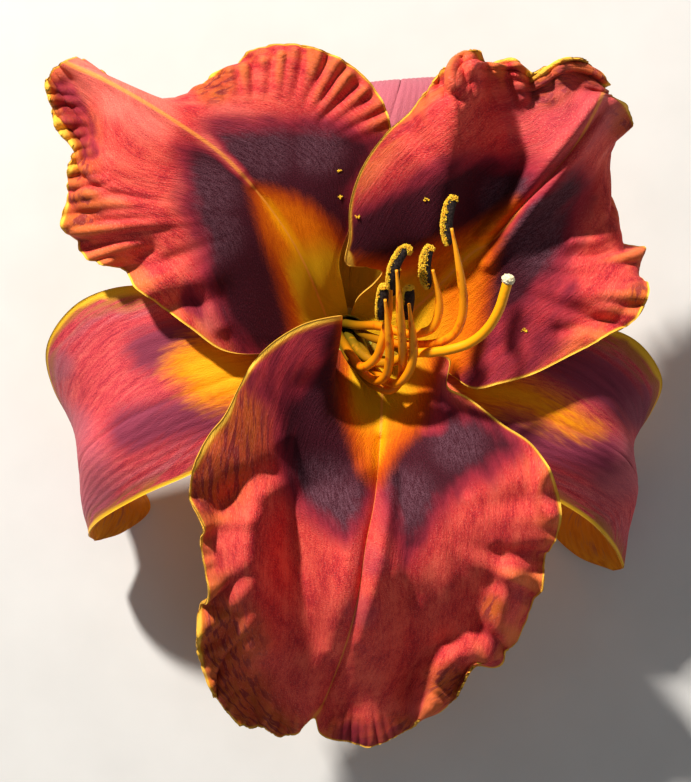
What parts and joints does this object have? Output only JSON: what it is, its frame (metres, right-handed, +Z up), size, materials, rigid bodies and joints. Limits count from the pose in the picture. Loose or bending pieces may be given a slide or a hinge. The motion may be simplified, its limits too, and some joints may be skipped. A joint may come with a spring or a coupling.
{
  "type": "daylily bloom",
  "caption": "Picked daylily bloom, face up: ruffled petals over recurved sepals on a short tube, with a dark eye, an orange throat, stamens and a pistil.",
  "frame": {"origin": "the bottom centre of the bloom's box, on the surface that the bloom lies on", "axes": "+Z up, along the tube and out of the throat; -Y towards the tip of the lower petal; +X to the right as seen from above with the lower petal at the bottom"},
  "size_m": [0.1266, 0.1434, 0.065],
  "materials": {
    "petal": "velvety petal, coral red with a dark eye, an orange throat and a thin golden edge",
    "sepal": "smooth petal skin, rose red with a yellow patch and a thin yellow edge",
    "tube": "smooth waxy yellow-green plant skin",
    "stem": "matt green plant skin",
    "filament": "waxy orange, flecked with red",
    "anther": "near-black, dusted with yellow pollen",
    "style": "waxy golden yellow",
    "stigma": "downy cream"
  },
  "bodies": {
    "root": {"petal_upper_left": "petal", "petal_upper_right": "petal", "petal_lower": "petal", "sepal_left": "sepal", "sepal_right": "sepal", "sepal_top": "sepal", "perianth_tube": "tube", "pedicel": "stem", "filament_1": "filament", "filament_2": "filament", "filament_3": "filament", "filament_4": "filament", "filament_5": "filament", "filament_6": "filament", "anther_1": "anther", "anther_2": "anther", "anther_3": "anther", "anther_4": "anther", "anther_5": "anther", "anther_6": "anther", "pistil": "style", "stigma": "stigma"}
  },
  "joints": []
}
